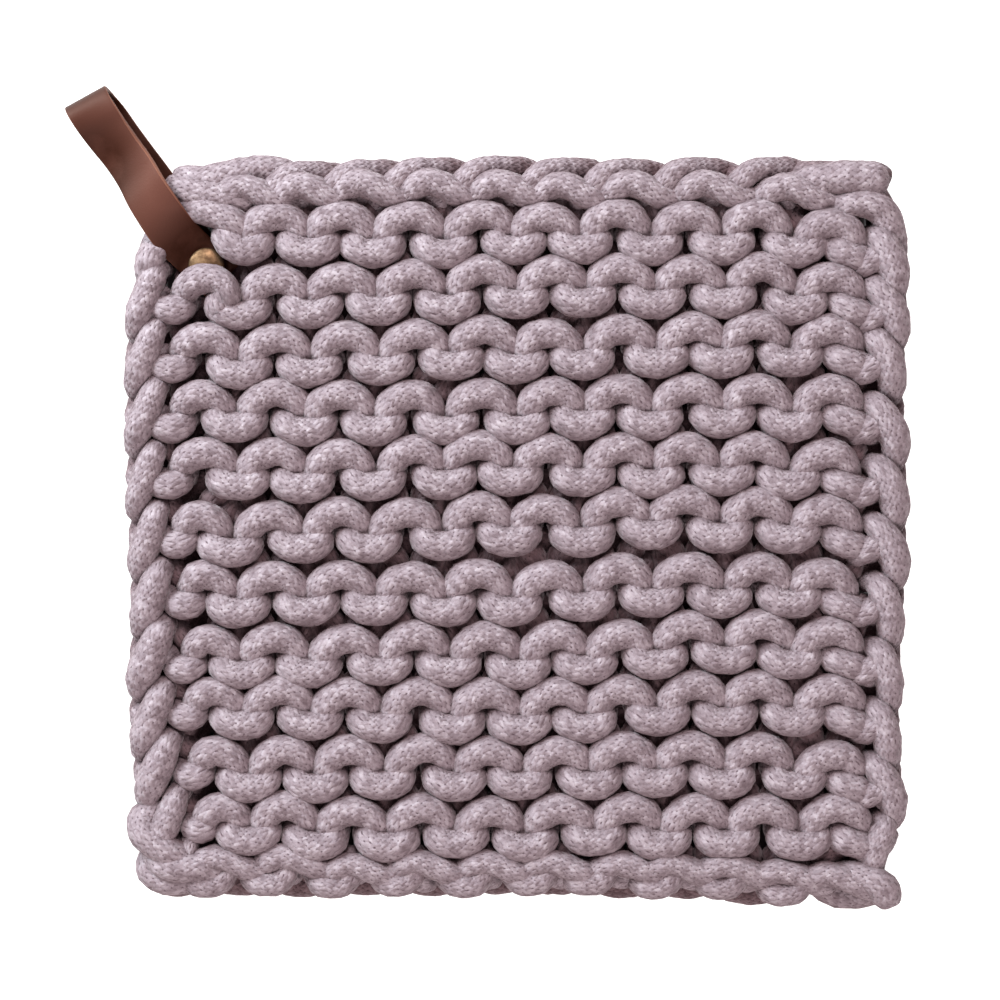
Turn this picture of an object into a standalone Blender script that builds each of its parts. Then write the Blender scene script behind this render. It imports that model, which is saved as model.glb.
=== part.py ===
"""Square pot holder: thick cotton cord knitted in garter stitch, with a riveted leather loop.

Three pieces, as a maker fits them: the knitted square, one leather strap folded over a corner,
and the two-cap rivet that clamps both ends of the strap through the knitting.
The square lies flat on z = 0 with its bind-off edge towards +Y and the loop at the -X +Y corner.
Sizes are in millimetres and become metres where a mesh is placed.
"""
import math
from random import Random
from typing import NamedTuple

import bmesh
import bpy
from mathutils import Matrix, Vector

MM = 0.001
GAP = 0.3                   # clearance between neighbouring pieces
MERGE = 0.00005             # merge distance of the turned profile, metres

# Knitted square
THICK = 16.0                # two cords deep
STITCH_WIDE = 18.0          # one stitch, column centre to column centre
RIDGE_TALL = 15.4           # one garter ridge, two rows of knitting
FIRST_WALE = -73.0          # x of the leftmost full stitch column
WALES = 10                  # full stitch columns between the edge stitches
SIDE_TOP = 11.0             # rim wall, upper edge
SIDE_LOW = 4.5              # rim wall, lower edge
BUMP_JITTER = 0.35          # hand-knitted unevenness of the bump tops
SEED = 11

# Leather strap and rivet
STRAP_WIDE = 12.0
STRAP_THICK = 1.8
RIVET_X, RIVET_Y = -73.0, 60.2
RIVET_CAP_R = 4.75
RIVET_POST_R = 1.5
RIVET_HOLE_R = RIVET_POST_R + GAP
WELL_TOP = 30.0             # height of the cut that keeps the strap's channel open
CAP_FOOT = 10.1             # underside of the front cap
CAP_TOP = 12.0              # crown of the front cap
REAR_CAP_LOW, REAR_CAP_TOP = 0.3, 1.4


class Ridge(NamedTuple):
    """One garter ridge: outer edges, height of its upper bumps, and drift of its columns."""

    left: float             # x of the left outer edge
    right: float            # x of the right outer edge
    y_left: float           # y of the upper bumps' crest in the left third
    y_mid: float            # the same in the middle
    y_right: float          # the same in the right third
    y_end: float            # the same in the last column
    drift_left: float       # how far the columns wander in x, left third
    drift_right: float      # the same, right third


RIDGES = (
    Ridge(-90.6, 108.8, 73.6, 73.5, 74.4, 71.5, 0.0, -1.0),
    Ridge(-93.5, 109.9, 57.7, 59.3, 60.3, 57.5, 0.3, 0.4),
    Ridge(-94.3, 109.5, 42.4, 43.4, 45.2, 44.5, -0.5, -0.4),
    Ridge(-94.3, 108.8, 27.3, 28.0, 28.7, 28.9, -0.9, 0.6),
    Ridge(-94.3, 110.0, 11.6, 13.4, 14.2, 11.7, -1.0, -0.3),
    Ridge(-94.0, 109.6, -4.3, -2.2, -0.4, -2.1, -2.5, -0.4),
    Ridge(-92.7, 110.0, -20.3, -19.7, -16.9, -19.0, -0.9, -0.5),
    Ridge(-93.2, 108.6, -35.9, -35.8, -32.8, -34.6, -0.5, 0.5),
    Ridge(-93.0, 108.4, -50.4, -50.7, -48.5, -49.4, 1.3, 0.0),
    Ridge(-92.4, 107.3, -65.4, -65.4, -64.2, -66.3, 1.6, 0.6),
    Ridge(-92.4, 108.0, -80.3, -80.8, -80.3, -80.8, 2.1, 1.6),
)


class CellPoint(NamedTuple):
    """One point of a stitch cell: its offset from the upper bump's crest and its depth."""

    dy: float               # towards +Y from the crest line
    depth: float            # below the tops of the bumps


# One stitch by one ridge, a row for each line across the ridge.
# Columns: over the stitch centre, a quarter on, between two stitches, three quarters on.
STITCH = (
    (CellPoint(5.0, 6.2), CellPoint(3.5, 3.6), CellPoint(1.7, 6.2), CellPoint(3.5, 3.6)),      # valley
    (CellPoint(0.2, 0.0), CellPoint(-0.9, 0.7), CellPoint(-1.6, 4.0), CellPoint(-0.9, 0.7)),   # upper bump
    (CellPoint(-4.6, 3.4), CellPoint(-4.9, 2.4), CellPoint(-4.7, 2.9), CellPoint(-4.9, 2.4)),  # crossing
    (CellPoint(-8.2, 4.4), CellPoint(-8.5, 0.8), CellPoint(-9.6, 0.0), CellPoint(-8.5, 0.8)),  # lower bump
)
VALLEY, UPPER, CROSSING, LOWER = range(4)
BACK_SHIFT = RIDGE_TALL / 2         # the ridges of the back lie half a ridge lower
OVER, QUARTER, BETWEEN = range(3)   # the first three columns of a stitch cell


class EdgeLine(NamedTuple):
    """How one line across a ridge ends in the chain along a side."""

    scallop: float          # how far the outline draws in
    lean: float             # how far the chain's crest shifts inwards
    crest: float            # depth of the chain's crest
    valley: float           # depth of the valley inside it
    half: float             # depth of the half stitch next to the first column


EDGE_CHAIN = (
    EdgeLine(0.4, 0.4, 2.0, 4.8, 3.8),      # valley
    EdgeLine(1.0, 1.0, 2.8, 4.4, 2.2),      # upper bump
    EdgeLine(0.5, -0.2, 1.6, 4.0, 2.6),     # crossing
    EdgeLine(0.0, -0.8, 1.0, 4.0, 0.9),     # lower bump
)
EDGE_INWARD = (0.0, 3.7, 8.6, 12.3)         # rim, crest, valley and half stitch from the outline
HALF_LEAN = 0.3                             # share of the lean that reaches the half stitch
BAND_CREST, BAND_VALLEY = 1.8, 2.8          # depths of the chain where a band ends in it
BOW_REACH = 0.38                            # share of the width over which a ridge bows to a side
END_REACH = 0.16                            # share of the width over which it settles to its end


class BandLine(NamedTuple):
    """One line along the bind-off or the cast-on edge."""

    y: float                # height on the square
    depth: float            # depth over a stitch centre
    depth_between: float    # depth between two stitches
    scallop: float          # how far the line dips between two stitches
    left: float             # x of its left end
    right: float            # x of its right end
    slide: float            # how far its bumps slide towards -X at the right end
    droop: float            # how far it hangs down at the right end


BIND_OFF = (
    BandLine(87.7, 5.0, 5.4, 0.5, -88.6, 102.6, 0.0, 0.6),
    BandLine(84.8, 1.0, 3.2, 0.3, -90.0, 104.6, 0.0, 0.6),
    BandLine(82.5, 3.2, 2.4, 0.6, -90.4, 104.9, 0.0, 0.4),
    BandLine(80.0, 0.4, 2.6, 1.2, -90.6, 104.4, 0.0, 0.2),
)
CAST_ON = (
    BandLine(-90.0, 5.2, 3.6, 3.4, -92.4, 107.2, 0.0, 0.4),
    BandLine(-94.6, 0.5, 2.6, 1.0, -92.0, 106.0, 1.5, 1.2),
    BandLine(-98.2, 2.8, 3.6, 0.5, -91.4, 107.4, 4.0, 2.2),
    BandLine(-101.5, 1.0, 4.8, 0.0, -90.6, 108.5, 8.0, 2.8),
    BandLine(-104.6, 5.0, 5.4, -1.4, -87.4, 105.6, 8.0, 3.0),
)
DROOP_FROM = 0.7            # share of the width after which the bottom edge hangs down


class Station(NamedTuple):
    """One point along the middle of the leather strap, from its front end to its rear end."""

    x: float
    y: float
    z: float
    turn: float             # direction across the strap, degrees from +X


STRAP = (
    Station(-68.8, 56.3, 8.9, 43.0),
    Station(-73.0, 60.2, 8.9, 43.0),
    Station(-77.0, 64.1, 8.9, 42.0),
    Station(-81.2, 68.5, 12.8, 40.0),
    Station(-85.2, 73.4, 15.5, 37.0),
    Station(-88.9, 78.6, 15.7, 36.0),
    Station(-92.6, 84.2, 13.6, 36.0),
    Station(-95.9, 89.2, 12.0, 35.0),
    Station(-99.2, 94.1, 12.6, 34.0),
    Station(-101.6, 98.3, 13.9, 32.0),
    Station(-103.2, 101.4, 13.6, 30.0),
    Station(-104.2, 103.2, 11.2, 29.0),
    Station(-104.5, 103.9, 7.8, 29.0),
    Station(-104.0, 103.5, 4.4, 29.5),
    Station(-102.6, 101.8, 1.9, 30.5),
    Station(-100.4, 99.2, 1.0, 32.0),
    Station(-97.2, 94.6, 0.9, 34.0),
    Station(-93.3, 89.3, 0.9, 36.0),
    Station(-89.0, 83.6, 0.9, 38.0),
    Station(-84.6, 77.4, 0.9, 40.0),
    Station(-80.4, 70.3, 1.3, 42.0),
    Station(-76.8, 64.8, 2.6, 43.0),
    Station(-73.0, 60.2, 2.6, 43.0),
    Station(-69.4, 55.8, 2.6, 43.0),
)
FRONT_STATIONS = 9          # stations of the front run that lie on the knitting
REAR_STATIONS = 7           # stations of the rear run that lie under it
POCKET_STATIONS = 3         # stations of the front end that a stitch reaches over
SLOPE_ROOM = 1.25           # how much thicker the strap stands where it climbs
POCKET_ROOM = 0.2           # extra room on each side of the pocket

rng = Random(SEED)


def clear_scene():
    """Remove every object, so that the file can be run twice."""
    for item in list(bpy.data.objects):
        bpy.data.objects.remove(item, do_unlink=True)


def new_collection(name):
    """Add a collection to the scene."""
    group = bpy.data.collections.new(name)
    bpy.context.scene.collection.children.link(group)
    return group


def new_object(name, bm, group, material=None):
    """Turn a bmesh into an object of the collection."""
    mesh = bpy.data.meshes.new(name)
    bm.to_mesh(mesh)
    bm.free()
    item = bpy.data.objects.new(name, mesh)
    group.objects.link(item)
    if material:
        mesh.materials.append(material)
    return item


def new_material(name, color, roughness, metallic=0.0):
    """A Principled material of one plain finish."""
    material = bpy.data.materials.new(name)
    material.use_nodes = True
    shader = material.node_tree.nodes["Principled BSDF"]
    shader.inputs["Base Color"].default_value = (*color, 1.0)
    shader.inputs["Roughness"].default_value = roughness
    shader.inputs["Metallic"].default_value = metallic
    return material


def mark_cutter(item):
    """Show a cutter as wire and keep it out of renders."""
    item.hide_render = True
    item.display_type = 'WIRE'


def cut(item, cutter, solver='EXACT'):
    """Take the cutter's shape out of a piece."""
    modifier = item.modifiers.new("cut_" + cutter.name, 'BOOLEAN')
    modifier.operation = 'DIFFERENCE'
    modifier.solver = solver
    modifier.object = cutter


def mix(a, b, t):
    """Blend from a to b."""
    return a + (b - a) * t


def ease(t):
    """Smooth 0 to 1 step."""
    t = min(max(t, 0.0), 1.0)
    return t * t * (3.0 - 2.0 * t)


# ---------------------------------------------------------------- knitted square

EDGE_COLUMNS = 4            # rim, edge chain crest, edge chain valley, half stitch
COLUMNS = 2 * EDGE_COLUMNS + 4 * (WALES - 1) + 3
ROWS = len(BIND_OFF) + 4 * len(RIDGES) + len(CAST_ON)
LAST_WALE = FIRST_WALE + STITCH_WIDE * (WALES - 1)


def column_phase(column):
    """Quarter of the stitch cell that a column stands on: 0 over a stitch, 2 between two."""
    return (column - EDGE_COLUMNS - 1) % 4


def inner_x(column):
    """X of a column of the stitch field before it drifts."""
    return FIRST_WALE + STITCH_WIDE * (column - EDGE_COLUMNS - 1) / 4


def ridge_crest(ridge, x):
    """Y of a ridge's upper bumps at x: a bowed line that droops in the last column."""
    t = (x - FIRST_WALE) / (LAST_WALE - FIRST_WALE)
    side = ridge.y_left if t < 0.5 else ridge.y_right
    line = mix(ridge.y_mid, side, ease(abs(t - 0.5) / BOW_REACH))
    return mix(line, ridge.y_end, ease((t - 1.0 + END_REACH) / END_REACH))


def edge_column(column, left, right, lean):
    """X of a column in the edge chain: rim, crest and valley from the outline inwards."""
    place = edge_place(column)
    inward = EDGE_INWARD[place] + lean * (0.0, 1.0, 0.0, HALF_LEAN)[place]
    return left + inward if column < EDGE_COLUMNS else right - inward


def is_edge(column):
    """Whether a column belongs to the chain along the side."""
    return column < EDGE_COLUMNS or column >= COLUMNS - EDGE_COLUMNS


def edge_place(column):
    """Place of a column counted from its own side: 0 rim, 1 chain crest, 2 valley, 3 half stitch."""
    return min(column, COLUMNS - 1 - column)


def ridge_point(index, line, column, back):
    """Place and depth of a point of the stitch field."""
    ridge = RIDGES[index]
    row, shift = line, 0.0
    if back:
        row = (line + 2) % 4
        shift = BACK_SHIFT if line in (VALLEY, UPPER) else -BACK_SHIFT
    if is_edge(column):
        edge = EDGE_CHAIN[line]
        x = edge_column(column, ridge.left + edge.scallop, ridge.right - edge.scallop, edge.lean)
        depth = (0.0, edge.crest, edge.valley, EDGE_CHAIN[row].half)[edge_place(column)]
        crest = ridge_crest(ridge, min(max(x, FIRST_WALE), LAST_WALE))
        return x, crest + STITCH[row][QUARTER].dy + shift, depth
    cell = STITCH[row][column_phase(column)]
    x = inner_x(column)
    t = (x - FIRST_WALE) / (LAST_WALE - FIRST_WALE)
    x += mix(ridge.drift_left, ridge.drift_right, min(max(t, 0.0), 1.0))
    return x, ridge_crest(ridge, x) + cell.dy + shift, cell.depth


def band_point(line, column):
    """Place and depth of a point of the bind-off or cast-on edge."""
    droop = line.droop * ease(((column + 1) / COLUMNS - DROOP_FROM) / (1.0 - DROOP_FROM))
    if is_edge(column):
        x = edge_column(column, line.left, line.right, 0.0)
        return x, line.y - droop, (0.0, BAND_CREST, BAND_VALLEY, line.depth)[edge_place(column)]
    between = 0.5 - 0.5 * math.cos(math.pi * column_phase(column) / 2)
    x = inner_x(column)
    t = (x - FIRST_WALE) / (LAST_WALE - FIRST_WALE)
    x -= line.slide * min(max(t, 0.0), 1.0)
    y = line.y - line.scallop * between - droop
    return x, y, mix(line.depth, line.depth_between, between)


def knit_point(row, column, back):
    """Millimetre place of one point on the face or the back of the square."""
    last_ridge_row = len(BIND_OFF) + 4 * len(RIDGES)
    if row < len(BIND_OFF):
        x, y, depth = band_point(BIND_OFF[row], column)
    elif row >= last_ridge_row:
        x, y, depth = band_point(CAST_ON[row - last_ridge_row], column)
    else:
        index, line = divmod(row - len(BIND_OFF), 4)
        x, y, depth = ridge_point(index, line, column, back)
    rim = row in (0, ROWS - 1) or column in (0, COLUMNS - 1)
    if rim:
        return x, y, SIDE_LOW if back else SIDE_TOP
    if back:
        return x, y, 0.0 if is_foot(row, column) else depth
    return x, y, THICK - depth - rng.uniform(0.0, BUMP_JITTER)


def is_foot(row, column):
    """Whether a point of the back lies flat on the surface: the crown of a bump and the spot above it."""
    inside = len(BIND_OFF) <= row < ROWS - len(CAST_ON) and not is_edge(column)
    line, phase = (row - len(BIND_OFF)) % 4, column_phase(column)
    return inside and (line == LOWER and phase != BETWEEN or line == VALLEY and phase == OVER)


def turn_edges_out(bm):
    """Split each quad along the diagonal that makes its bump fuller."""
    middle = THICK * MM / 2
    for face in bm.faces[:]:
        a, b, c, d = face.verts
        reach_ac = abs((a.co.z + c.co.z) / 2 - middle)
        reach_bd = abs((b.co.z + d.co.z) / 2 - middle)
        ends = (a, c) if reach_ac >= reach_bd else (b, d)
        bmesh.utils.face_split(face, *ends)


def place_points(verts, back):
    """Move the points of a unit grid to their places on the face or the back."""
    for vert in verts:
        row = round((0.5 - vert.co.y) * (ROWS - 1))
        column = round((0.5 + vert.co.x) * (COLUMNS - 1))
        vert.co = Vector(knit_point(row, column, back)) * MM


def make_knit_square(group, material):
    """A slab whose two faces carry the stitches, edge chains, bind-off and cast-on."""
    bm = bmesh.new()
    bmesh.ops.create_grid(bm, x_segments=COLUMNS - 1, y_segments=ROWS - 1, size=0.5)
    rear_verts = bm.verts[:]
    lifted = bmesh.ops.extrude_face_region(bm, geom=bm.faces[:], use_keep_orig=True)
    front_verts = [item for item in lifted["geom"] if isinstance(item, bmesh.types.BMVert)]
    place_points(rear_verts, back=True)
    place_points(front_verts, back=False)
    turn_edges_out(bm)
    bmesh.ops.recalc_face_normals(bm, faces=bm.faces)
    square = new_object("knit_square", bm, group, material)
    square.data.shade_smooth()
    return square


# ---------------------------------------------------------------- leather strap

def strip_mesh(stations, half_width, drop=0.0):
    """An open ribbon through the stations, one quad between each two."""
    bm = bmesh.new()
    bmesh.ops.create_grid(bm, x_segments=1, y_segments=len(stations) - 1, size=0.5)
    for vert in bm.verts:
        station = stations[round((0.5 - vert.co.y) * (len(stations) - 1))]
        side = half_width if vert.co.x > 0 else -half_width
        turn = math.radians(station.turn)
        vert.co = Vector((station.x + side * math.cos(turn), station.y + side * math.sin(turn),
                          station.z - drop)) * MM
    return bm


def make_loop(group, material):
    """The strap: one ribbon thickened both ways, with its cut edges eased."""
    strap = new_object("leather_loop", strip_mesh(STRAP, STRAP_WIDE / 2), group, material)
    wall = strap.modifiers.new("leather", 'SOLIDIFY')
    wall.thickness = STRAP_THICK * MM
    wall.offset = 0.0
    wall.use_even_offset = True
    return strap


def beyond(end, neighbour):
    """The end station moved a gap further out, away from its neighbour."""
    run = Vector((end.x - neighbour.x, end.y - neighbour.y, 0.0)).normalized() * GAP
    return end._replace(x=end.x + run.x, y=end.y + run.y)


def make_channel(name, stations, height, group, extra=0.0):
    """A cutter that makes room for the strap and for a height above it, or below where negative."""
    room = STRAP_THICK / 2 * SLOPE_ROOM + GAP + extra
    bm = strip_mesh(stations, STRAP_WIDE / 2 + GAP + extra, math.copysign(room, height))
    grown = bmesh.ops.extrude_face_region(bm, geom=bm.faces[:], use_keep_orig=True)
    verts = [item for item in grown["geom"] if isinstance(item, bmesh.types.BMVert)]
    bmesh.ops.translate(bm, verts=verts, vec=(0.0, 0.0, height * MM))
    bmesh.ops.recalc_face_normals(bm, faces=bm.faces)
    cutter = new_object(name, bm, group)
    mark_cutter(cutter)
    return cutter


def make_drum(name, radius, low, top, group):
    """An upright round cutter on the rivet's axis."""
    bm = bmesh.new()
    bmesh.ops.create_cone(bm, cap_ends=True, segments=24, radius1=radius * MM, radius2=radius * MM,
                          depth=(top - low) * MM,
                          matrix=Matrix.Translation((RIVET_X * MM, RIVET_Y * MM, (low + top) / 2 * MM)))
    cutter = new_object(name, bm, group)
    mark_cutter(cutter)
    return cutter


# ---------------------------------------------------------------- rivet

def make_rivet(group, material):
    """Rear cap, post and domed front cap, turned from one profile."""
    dome = [(RIVET_CAP_R * math.cos(a), CAP_FOOT + 0.4 + (CAP_TOP - CAP_FOOT - 0.4) * math.sin(a))
            for a in (math.radians(d) for d in (80, 60, 40, 20, 0))]
    profile = [(0.0, CAP_TOP), *dome, (RIVET_CAP_R, CAP_FOOT), (RIVET_POST_R, CAP_FOOT),
               (RIVET_POST_R, REAR_CAP_TOP), (RIVET_CAP_R - 0.3, REAR_CAP_TOP),
               (RIVET_CAP_R, REAR_CAP_TOP - 0.3), (RIVET_CAP_R, REAR_CAP_LOW + 0.3),
               (RIVET_CAP_R - 0.4, REAR_CAP_LOW), (0.0, REAR_CAP_LOW)]
    bm = bmesh.new()
    verts = [bm.verts.new((r * MM, 0.0, z * MM)) for r, z in profile]
    for first, second in zip(verts, verts[1:]):
        bm.edges.new((first, second))
    rivet = new_object("rivet", bm, group, material)
    rivet.location = (RIVET_X * MM, RIVET_Y * MM, 0.0)
    turned = rivet.modifiers.new("turned", 'SCREW')
    turned.steps = turned.render_steps = 24
    turned.use_merge_vertices = True
    turned.merge_threshold = MERGE
    turned.use_smooth_shade = True
    return rivet


def main():
    """Build the three pieces and open the knitting around the strap and the rivet."""
    clear_scene()
    parts = new_collection("pot_holder")
    cutters = new_collection("cutters")
    cotton = new_material("mauve_cotton_cord", (0.275, 0.212, 0.235), 0.95)
    leather = new_material("brown_leather", (0.085, 0.028, 0.019), 0.5)
    brass = new_material("antique_brass", (0.33, 0.22, 0.13), 0.35, 1.0)

    square = make_knit_square(parts, cotton)
    strap = make_loop(parts, leather)
    make_rivet(parts, brass)

    front_end = beyond(STRAP[0], STRAP[1])
    rear_end = beyond(STRAP[-1], STRAP[-2])
    pocket_height = CAP_TOP + GAP - front_end.z + STRAP_THICK / 2 * SLOPE_ROOM + GAP
    well = make_channel("front_well", STRAP[1:FRONT_STATIONS + 1], WELL_TOP, cutters)
    pocket = make_channel("front_pocket", (front_end, *STRAP[1:POCKET_STATIONS]), pocket_height,
                          cutters, POCKET_ROOM)
    rear = make_channel("rear_channel", (*STRAP[-REAR_STATIONS:-1], rear_end), -WELL_TOP, cutters)
    hole = make_drum("rivet_hole", RIVET_HOLE_R, -WELL_TOP, WELL_TOP, cutters)
    for cutter in (well, pocket, rear, hole):
        cut(square, cutter, 'MANIFOLD')
    cut(strap, hole)


main()
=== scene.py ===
"""Pot holder knitted in garter stitch from thick braided cotton cord, with a riveted leather loop.

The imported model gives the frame. Every course of knitting is a run of cord with a real path, swept by
Geometry Nodes; the loop is one folded leather strap and the rivet is turned. Sizes are in millimetres.
"""

import logging
import math
from collections.abc import Iterable, Mapping, Sequence
from dataclasses import dataclass, field
from enum import Enum
from random import Random
from typing import Any, NamedTuple

import bmesh
import bpy
import numpy as np
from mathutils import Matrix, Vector


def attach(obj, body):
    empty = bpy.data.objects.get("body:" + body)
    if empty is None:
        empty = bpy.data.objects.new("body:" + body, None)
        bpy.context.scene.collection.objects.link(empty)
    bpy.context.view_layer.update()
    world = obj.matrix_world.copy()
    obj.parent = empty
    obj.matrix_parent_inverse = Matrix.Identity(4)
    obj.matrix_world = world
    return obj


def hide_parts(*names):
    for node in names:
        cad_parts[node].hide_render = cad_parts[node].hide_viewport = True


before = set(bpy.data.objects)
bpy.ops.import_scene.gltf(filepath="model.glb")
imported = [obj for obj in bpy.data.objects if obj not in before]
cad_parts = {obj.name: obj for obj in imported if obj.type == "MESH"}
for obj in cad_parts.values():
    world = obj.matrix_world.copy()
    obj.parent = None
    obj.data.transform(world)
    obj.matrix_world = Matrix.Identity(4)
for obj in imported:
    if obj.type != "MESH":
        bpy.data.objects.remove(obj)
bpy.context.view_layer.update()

LOG = logging.getLogger("pot_holder")
MM = 0.001
Spot = tuple[float, float]
Spots = tuple[Spot, ...]
Point = tuple[float, float, float]
Socket = bpy.types.NodeSocket
Tree = bpy.types.NodeTree

CORD = 7.95                 # thickness of the braided cord
THICK = 16.0                # thickness of the knitting, two cords deep
FRONT_Z = 12.3              # height of a cord's middle where it lies on the face
BACK_Z = THICK - FRONT_Z    # the same on the back
MIDDLE_Z = THICK / 2
STITCH_WIDE = 18.0          # column centre to column centre
RIDGE_TALL = 15.4           # one garter ridge
FIRST_WALE = -73.0          # x of the leftmost full stitch
WALES = 10
SEED = 11


# ---------------------------------------------------------------- helpers

def linear(color: str) -> tuple[float, float, float, float]:
    """Turn an sRGB hex colour into linear light.

    Args:
        color: # and six hex digits.

    Returns:
        Red, green, blue and full opacity.
    """
    channels = [int(color[i:i + 2], 16) / 255 for i in (1, 3, 5)]
    red, green, blue = (c / 12.92 if c <= 0.04045 else ((c + 0.055) / 1.055) ** 2.4 for c in channels)
    return red, green, blue, 1.0


def fill(tree: Tree, node: bpy.types.Node, inputs: Mapping[Any, Any]) -> None:
    """Link or set a node's inputs.

    Args:
        tree: the node's tree.
        node: the node.
        inputs: socket name or number, and a value or the output socket that feeds it.
    """
    for socket, value in inputs.items():
        if isinstance(value, Socket):
            tree.links.new(value, node.inputs[socket])
        else:
            node.inputs[socket].default_value = value


def add_node(tree: Tree, kind: str, inputs: Mapping[Any, Any] | None = None,
             **settings: Any) -> bpy.types.Node:
    """Add a node, set its properties and fill its inputs.

    Args:
        tree: the tree that gets the node.
        kind: Blender's name of the node type.
        inputs: as for fill.
        settings: the node's own properties.

    Returns:
        The new node.
    """
    node = tree.nodes.new(kind)
    for name, value in settings.items():
        setattr(node, name, value)
    fill(tree, node, inputs or {})
    return node


def calc(tree: Tree, operation: str, *values: Any) -> Socket:
    """Work out a number with a Math node."""
    return add_node(tree, "ShaderNodeMath", dict(enumerate(values)), operation=operation).outputs[0]


def noise(tree: Tree, place: Socket, size: float, detail: float = 1.0,
          roughness: float = 0.5) -> Socket:
    """Clouds between 0 and 1 whose size is given in millimetres."""
    return add_node(tree, "ShaderNodeTexNoise",
                    {"Vector": place, "Scale": 1.0 / (size * MM), "Detail": detail,
                     "Roughness": roughness}).outputs["Fac"]


def ranged(tree: Tree, value: Socket, start: float, end: float, low: float = 0.0,
           high: float = 1.0) -> Socket:
    """Map what lies between start and end to between low and high, and go no further."""
    return add_node(tree, "ShaderNodeMapRange", {"Value": value, "From Min": start, "From Max": end,
                                                 "To Min": low, "To Max": high}).outputs[0]


def tinted(tree: Tree, share: Any, low: Any, high: Any, **settings: Any) -> Socket:
    """Mix two colours."""
    node = add_node(tree, "ShaderNodeMix", {0: share, 6: low, 7: high}, data_type='RGBA', **settings)
    return node.outputs[2]


def new_material(name: str) -> tuple[bpy.types.Material, Tree, bpy.types.Node, Any]:
    """Start a material.

    Args:
        name: its name.

    Returns:
        The material, its tree, its shader and the outputs of a Texture Coordinate node.
    """
    material = bpy.data.materials.new(name)
    material.use_nodes = True
    tree = material.node_tree
    return material, tree, tree.nodes["Principled BSDF"], add_node(tree, "ShaderNodeTexCoord").outputs


def smooth_step(t: float) -> float:
    """Ease from 0 to 1."""
    t = min(max(t, 0.0), 1.0)
    return t * t * (3.0 - 2.0 * t)


def mix(a: float, b: float, t: float) -> float:
    """Blend from a to b."""
    return a + (b - a) * t


def table(kind: type, *rows: Sequence[float]) -> tuple[Any, ...]:
    """Name the columns of plain rows."""
    return tuple(kind(*row) for row in rows)


def mesh_object(name: str, mesh: bpy.types.Mesh) -> bpy.types.Object:
    """Put a mesh in the scene at the origin.

    Args:
        name: the object's name.
        mesh: its mesh.

    Returns:
        The object.
    """
    item = bpy.data.objects.new(name, mesh)
    bpy.context.scene.collection.objects.link(item)
    return item


def turned_to_object(bm: bmesh.types.BMesh, name: str,
                     materials: Iterable[bpy.types.Material]) -> bpy.types.Object:
    """Finish a bmesh: faces outwards, smooth, dressed and in the scene.

    Args:
        bm: the shape, freed here.
        name: the piece's name.
        materials: its materials, in the order of the faces' numbers.

    Returns:
        The piece.
    """
    bmesh.ops.recalc_face_normals(bm, faces=bm.faces)
    mesh = bpy.data.meshes.new(name)
    bm.to_mesh(mesh)
    bm.free()
    for material in materials:
        mesh.materials.append(material)
    mesh.shade_smooth()
    return mesh_object(name, mesh)


def baked(item: bpy.types.Object) -> bpy.types.Object:
    """Replace an object's live modifiers by the plain mesh that they make.

    Args:
        item: an object with modifiers.

    Returns:
        The same object, without modifiers.
    """
    graph = bpy.context.evaluated_depsgraph_get()
    made = bpy.data.meshes.new_from_object(item.evaluated_get(graph), depsgraph=graph)
    item.modifiers.clear()
    made.name = item.name
    item.data = made
    return item


# ---------------------------------------------------------------- finishes

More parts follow.
